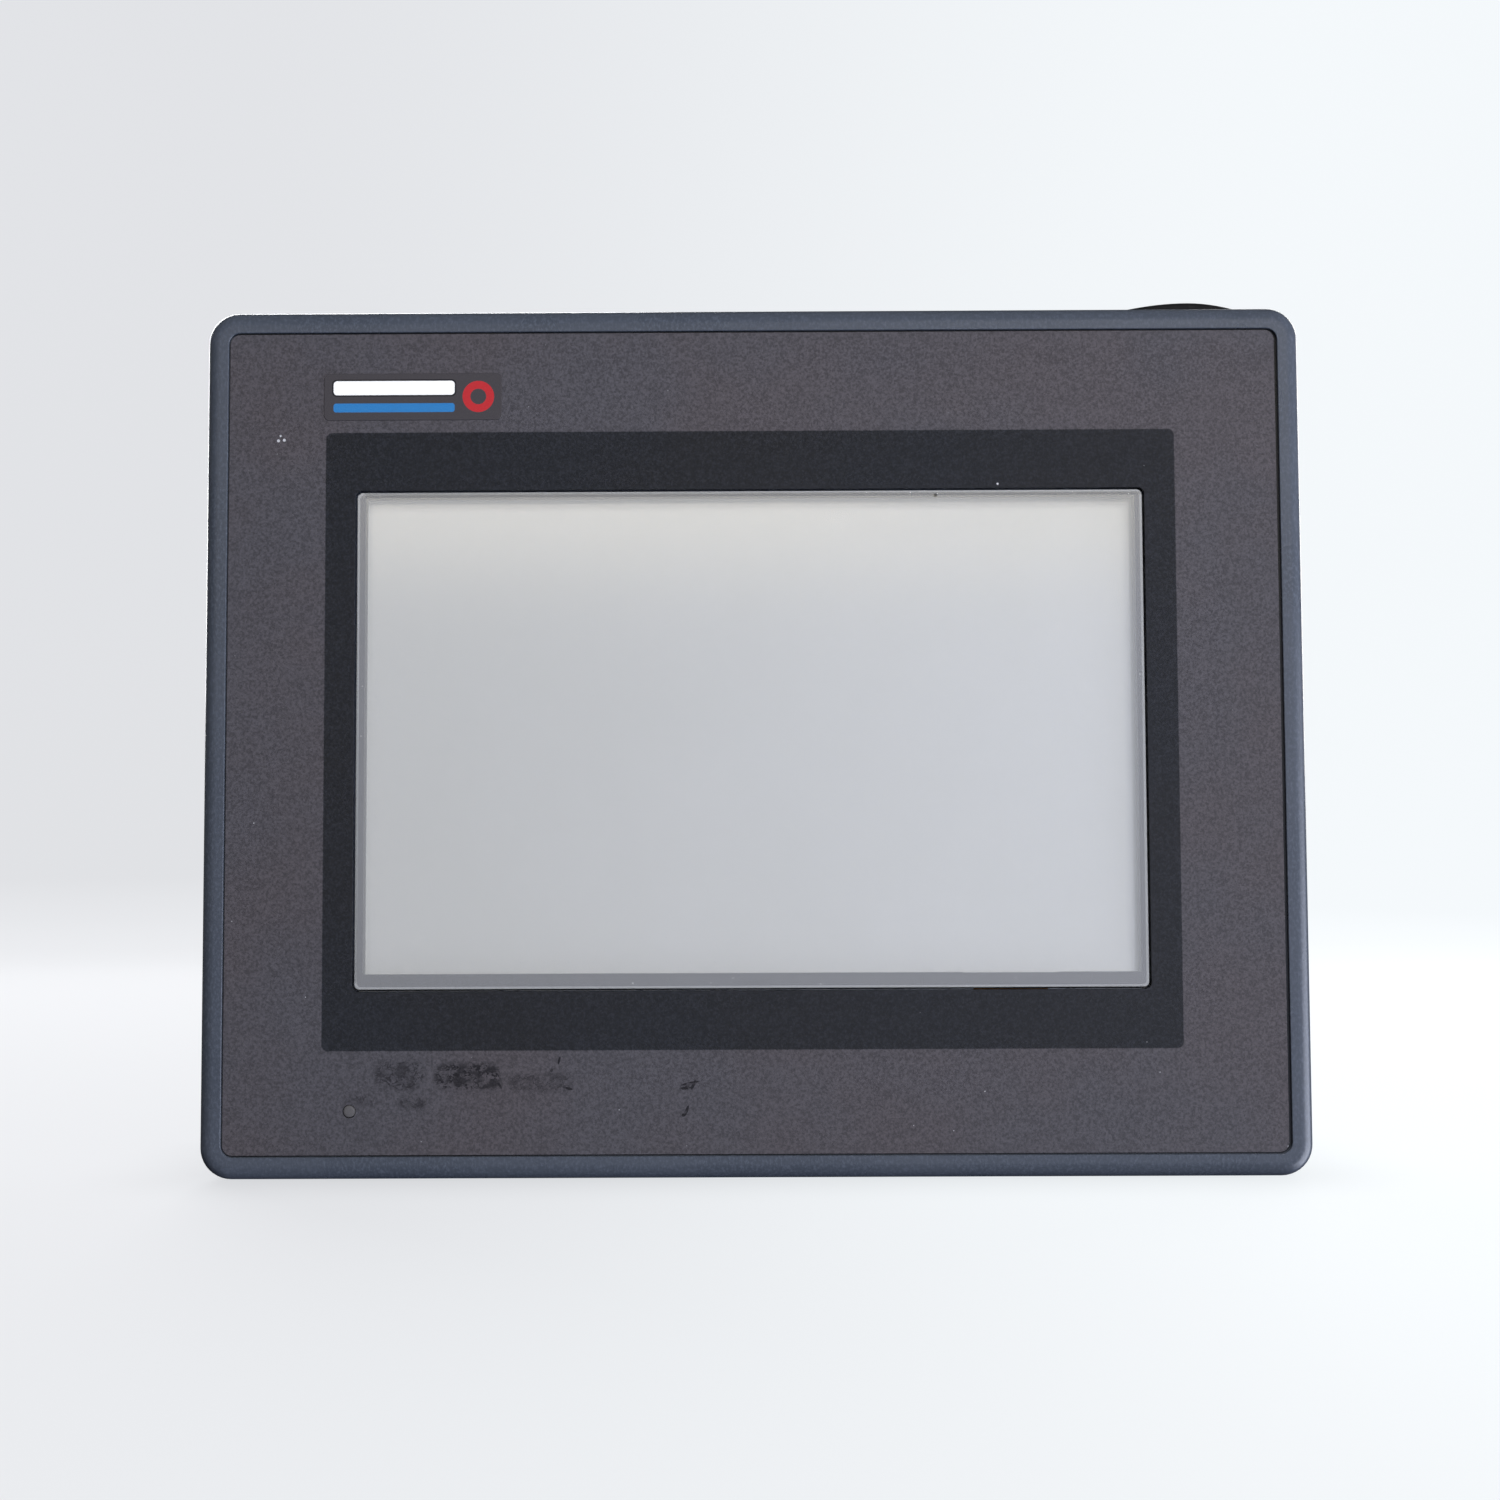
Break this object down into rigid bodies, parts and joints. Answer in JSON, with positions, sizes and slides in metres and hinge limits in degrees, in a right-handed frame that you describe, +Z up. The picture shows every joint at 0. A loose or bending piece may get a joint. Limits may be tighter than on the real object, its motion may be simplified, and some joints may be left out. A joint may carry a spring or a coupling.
{
  "type": "hmi touch panel",
  "caption": "Panel-mounted operator terminal: flat framed touch screen in front, boxy vented housing behind with a recessed connector bay and hinged terminal cover.",
  "frame": {"origin": "centre of the plane where the bezel flange seats on the panel", "axes": "+X to the right seen from the front, +Y from the display towards the back, +Z up"},
  "size_m": [0.2078, 0.0582, 0.1671],
  "materials": {
    "bezel_plastic": "fine satin moulded plastic",
    "overlay_print": "fine-textured printed polyester",
    "badge_print": "satin printed label",
    "led_lens": "clear, unlit",
    "gasket_rubber": "matte",
    "touch_film": "clear hard-coated film",
    "touch_glass": "clear",
    "adhesive_tape": "matt grey",
    "seal_foam": "closed-cell foam",
    "flex_film": "polyimide film",
    "sheet_steel": "zinc plated",
    "lcd_cell": "unlit reflective film behind glass",
    "white_plastic": "matte",
    "clear_acrylic": "clear",
    "lamp_glass": "phosphor-coated",
    "wire_insulation": "satin",
    "power_wire": "satin",
    "board_laminate": "solder mask",
    "chip_plastic": "moulded epoxy",
    "connector_black": "moulded",
    "brass": "turned",
    "contact_brass": "tinned edges",
    "steel_screw": "zinc plated",
    "battery_steel": "polished",
    "transformer_core": "varnished",
    "capacitor_sleeve": "shrink sleeve",
    "housing_plastic": "fine moulded texture",
    "hatch_plastic": "fine moulded texture",
    "label_foil": "satin foil",
    "shell_metal": "nickel plated",
    "clear_cover": "clear smoked polycarbonate",
    "button_plastic": "satin",
    "dip_red": "moulded",
    "dip_white": "moulded"
  },
  "bodies": {
    "panel_unit": {"front_bezel": "bezel_plastic", "front_overlay": "overlay_print", "name_badge": "badge_print", "status_led_lens": "led_lens", "panel_gasket": "gasket_rubber", "touch_film": "touch_film", "touch_spacer_tape": "adhesive_tape", "touch_glass": "touch_glass", "touch_seal": "seal_foam", "touch_tail": "flex_film", "lcd_frame": "sheet_steel", "lcd_glass": "lcd_cell", "lcd_holder": "white_plastic", "light_guide": "clear_acrylic", "backlight_tube": "lamp_glass", "lamp_leads": "wire_insulation", "lcd_back_plate": "sheet_steel", "lcd_driver_board": "board_laminate", "lcd_pads": "seal_foam", "chassis_plate": "sheet_steel", "cover_posts": "brass", "board_standoffs": "brass", "board_screws": "steel_screw", "main_board": "board_laminate", "main_board_chips": "chip_plastic", "expansion_socket": "connector_black", "display_ribbon": "wire_insulation", "battery_holder": "connector_black", "coin_battery": "battery_steel", "buzzer": "connector_black", "inverter_board": "board_laminate", "power_board": "board_laminate", "transformer": "transformer_core", "filter_capacitors": "capacitor_sleeve", "power_leads": "power_wire", "io_board": "board_laminate", "rear_cover": "housing_plastic", "cover_screws": "steel_screw", "expansion_cover": "hatch_plastic", "rating_label": "label_foil", "serial_connector": "shell_metal", "serial_jackscrews": "steel_screw", "tool_connector": "connector_black", "printer_connector": "connector_black", "terminal_block": "connector_black", "terminal_contacts": "contact_brass", "dip_switch_body": "dip_red"},
    "terminal_cover": {"terminal_cover": "clear_cover"},
    "reset_button": {"reset_button": "button_plastic"},
    "terminal_washer_1": {"terminal_washer_1": "steel_screw"},
    "terminal_washer_2": {"terminal_washer_2": "steel_screw"},
    "terminal_washer_3": {"terminal_washer_3": "steel_screw"},
    "terminal_screw_1": {"terminal_screw_1": "steel_screw"},
    "terminal_screw_2": {"terminal_screw_2": "steel_screw"},
    "terminal_screw_3": {"terminal_screw_3": "steel_screw"},
    "dip_slider_1": {"dip_slider_1": "dip_white"},
    "dip_slider_2": {"dip_slider_2": "dip_white"},
    "dip_slider_3": {"dip_slider_3": "dip_white"},
    "dip_slider_4": {"dip_slider_4": "dip_white"}
  },
  "joints": [
    {"name": "terminal_cover_hinge", "type": "hinge", "parent": "panel_unit", "child": "terminal_cover", "pos_m": [-0.066, 0.0447, -0.0432], "axis": [1, 0, 0], "range_deg": [0, 105]},
    {"name": "terminal_washer_1_lift", "type": "slide", "parent": "panel_unit", "child": "terminal_washer_1", "axis": [0, 1, 0], "range_m": [0, 0.002]},
    {"name": "terminal_screw_1_turn", "type": "hinge", "parent": "terminal_washer_1", "child": "terminal_screw_1", "pos_m": [-0.0755, 0.041, -0.055], "axis": [0, -1, 0], "range_deg": [-1440, 0]},
    {"name": "terminal_washer_2_lift", "type": "slide", "parent": "panel_unit", "child": "terminal_washer_2", "axis": [0, 1, 0], "range_m": [0, 0.002]},
    {"name": "terminal_screw_2_turn", "type": "hinge", "parent": "terminal_washer_2", "child": "terminal_screw_2", "pos_m": [-0.066, 0.041, -0.055], "axis": [0, -1, 0], "range_deg": [-1440, 0]},
    {"name": "terminal_washer_3_lift", "type": "slide", "parent": "panel_unit", "child": "terminal_washer_3", "axis": [0, 1, 0], "range_m": [0, 0.002]},
    {"name": "terminal_screw_3_turn", "type": "hinge", "parent": "terminal_washer_3", "child": "terminal_screw_3", "pos_m": [-0.0565, 0.041, -0.055], "axis": [0, -1, 0], "range_deg": [-1440, 0]},
    {"name": "reset_button_press", "type": "slide", "parent": "panel_unit", "child": "reset_button", "axis": [0, -1, 0], "range_m": [0, 0.0008], "stiffness_N_per_m": 300, "springref_m": -0.0005},
    {"name": "dip_slider_1_shift", "type": "slide", "parent": "panel_unit", "child": "dip_slider_1", "axis": [0, 0, 1], "range_m": [0, 0.0022]},
    {"name": "dip_slider_2_shift", "type": "slide", "parent": "panel_unit", "child": "dip_slider_2", "axis": [0, 0, 1], "range_m": [0, 0.0022]},
    {"name": "dip_slider_3_shift", "type": "slide", "parent": "panel_unit", "child": "dip_slider_3", "axis": [0, 0, 1], "range_m": [0, 0.0022]},
    {"name": "dip_slider_4_shift", "type": "slide", "parent": "panel_unit", "child": "dip_slider_4", "axis": [0, 0, 1], "range_m": [0, 0.0022]}
  ],
  "couplings": [
    {"joint": "terminal_screw_1_turn", "follows": "terminal_washer_1_lift", "rad_per_m": -12566},
    {"joint": "terminal_screw_2_turn", "follows": "terminal_washer_2_lift", "rad_per_m": -12566},
    {"joint": "terminal_screw_3_turn", "follows": "terminal_washer_3_lift", "rad_per_m": -12566}
  ]
}
